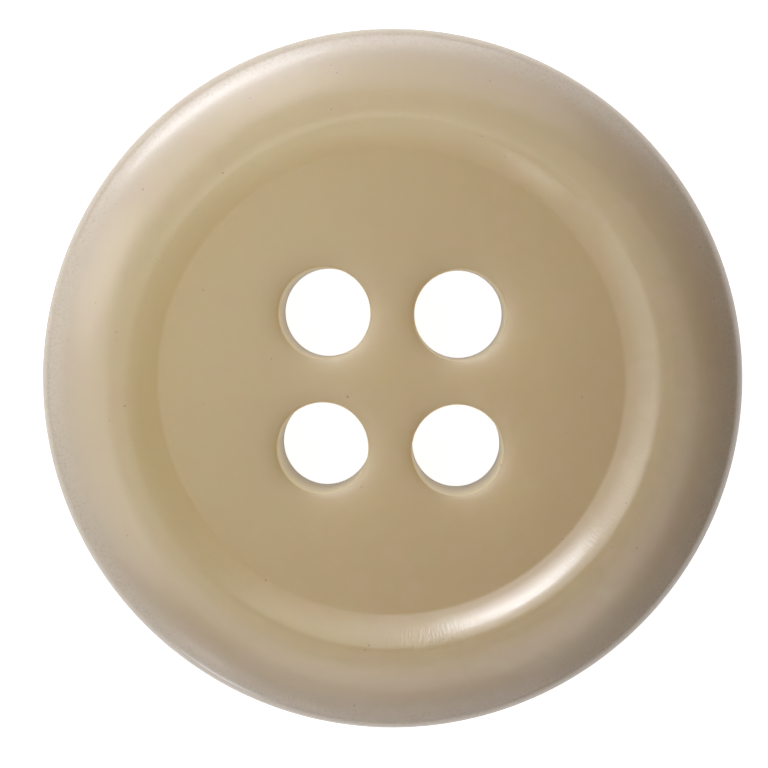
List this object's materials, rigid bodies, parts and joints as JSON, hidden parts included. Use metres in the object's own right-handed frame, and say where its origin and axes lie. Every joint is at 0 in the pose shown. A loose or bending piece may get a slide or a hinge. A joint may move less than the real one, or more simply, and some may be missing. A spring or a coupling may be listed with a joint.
{
  "type": "sew-through button",
  "caption": "Round sew-through button with a sunken middle, a broad rounded rim and a square of thread holes with softened edges.",
  "frame": {"origin": "middle of the back face, on the surface that the button rests on", "axes": "+Z through the button's thickness towards its front, with the rows of holes along X and Y"},
  "size_m": [0.02, 0.02, 0.0034],
  "materials": {
    "resin": "polished, slightly cloudy, with fine turning marks"
  },
  "bodies": {
    "root": {"button": "resin"}
  },
  "joints": []
}
